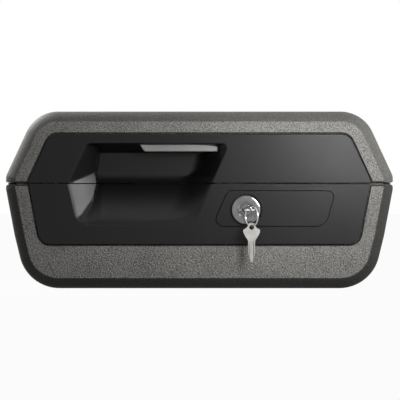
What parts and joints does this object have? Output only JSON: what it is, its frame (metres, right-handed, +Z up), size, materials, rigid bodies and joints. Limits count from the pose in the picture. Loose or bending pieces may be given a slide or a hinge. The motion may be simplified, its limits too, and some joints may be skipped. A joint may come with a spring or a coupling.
{
  "type": "fire-resistant key-lock chest",
  "caption": "Small fire-resistant chest: tapered grey shells on an insulated body, black front panel with a scooped hand recess and release paddle, key lock, rear-hinged lid.",
  "frame": {"origin": "centre of the flat underside, midway between the front and back faces of the case", "axes": "+X to the right of someone facing the front, front faces -Y, +Z up"},
  "size_m": [0.362, 0.3744, 0.1654],
  "materials": {
    "pebble_shell": "pebble-textured moulded plastic, speckled warm grey",
    "satin_black": "fine satin moulded black",
    "liner_plastic": "satin moulded dark grey",
    "cast_fill": "rough light cast fill",
    "seal_rubber": "matt",
    "plug_plastic": "satin",
    "paddle_grey": "satin light grey",
    "lock_chrome": "bright",
    "key_nickel": "satin nickel",
    "ring_steel": "bright",
    "zinc_steel": "zinc plated",
    "spring_steel": "satin"
  },
  "bodies": {
    "base": {"base_shell": "pebble_shell", "base_fill": "cast_fill", "base_liner": "liner_plastic", "base_front_panel": "satin_black", "lock_plate": "satin_black", "rim_seal": "seal_rubber", "base_fill_plug": "plug_plastic", "strike_plate": "zinc_steel", "strike_screw_left": "zinc_steel", "strike_screw_right": "zinc_steel", "hinge_pin_left": "zinc_steel", "hinge_pin_right": "zinc_steel", "lock_housing": "lock_chrome", "lock_nut": "zinc_steel"},
    "lid": {"lid_shell": "pebble_shell", "lid_fill": "cast_fill", "lid_liner": "liner_plastic", "lid_front_panel": "satin_black", "lid_fill_plug": "plug_plastic", "lock_striker": "zinc_steel", "striker_screw_left": "zinc_steel", "striker_screw_right": "zinc_steel", "latch_pin": "zinc_steel", "latch_bracket": "zinc_steel", "bracket_screw_left": "zinc_steel", "bracket_screw_right": "zinc_steel", "paddle_spring_left": "spring_steel", "paddle_spring_right": "spring_steel"},
    "paddle": {"release_paddle": "paddle_grey"},
    "hook": {"latch_hook": "zinc_steel"},
    "lock_core": {"lock_plug": "lock_chrome", "lock_cam": "zinc_steel", "cam_screw": "zinc_steel"},
    "key": {"lock_key": "key_nickel"},
    "ring": {"key_ring": "ring_steel"},
    "spare": {"spare_key": "key_nickel"}
  },
  "joints": [
    {"name": "lid_hinge", "type": "hinge", "parent": "base", "child": "lid", "pos_m": [0, 0.172, 0.098], "axis": [-1, 0, 0], "range_deg": [0, 95]},
    {"name": "paddle_squeeze", "type": "slide", "parent": "lid", "child": "paddle", "axis": [0, 0, 1], "range_m": [0, 0.003], "stiffness_N_per_m": 1500, "springref_m": -0.002, "deforming": ["paddle_spring_left", "paddle_spring_right"]},
    {"name": "hook_release", "type": "hinge", "parent": "lid", "child": "hook", "pos_m": [-0.0195, -0.119, 0.141], "axis": [-1, 0, 0], "range_deg": [0, 5.8]},
    {"name": "lock_turn", "type": "hinge", "parent": "base", "child": "lock_core", "pos_m": [0.0434, -0.155, 0.0734], "axis": [0, 1, 0], "range_deg": [0, 90]},
    {"name": "key_pull", "type": "slide", "parent": "lock_core", "child": "key", "axis": [0, -1, 0], "range_m": [0, 0.028]},
    {"name": "ring_swing", "type": "hinge", "parent": "key", "child": "ring", "pos_m": [0.0434, -0.1816, 0.0734], "axis": [-0.8192, -0.5736, 0], "range_deg": [-8, 60]},
    {"name": "spare_key_swing", "type": "hinge", "parent": "ring", "child": "spare", "pos_m": [0.0478, -0.18789, 0.0583], "axis": [0, 1, 0], "range_deg": [-60, 60]}
  ],
  "couplings": [
    {"joint": "hook_release", "follows": "paddle_squeeze", "rad_per_m": 33.3}
  ]
}
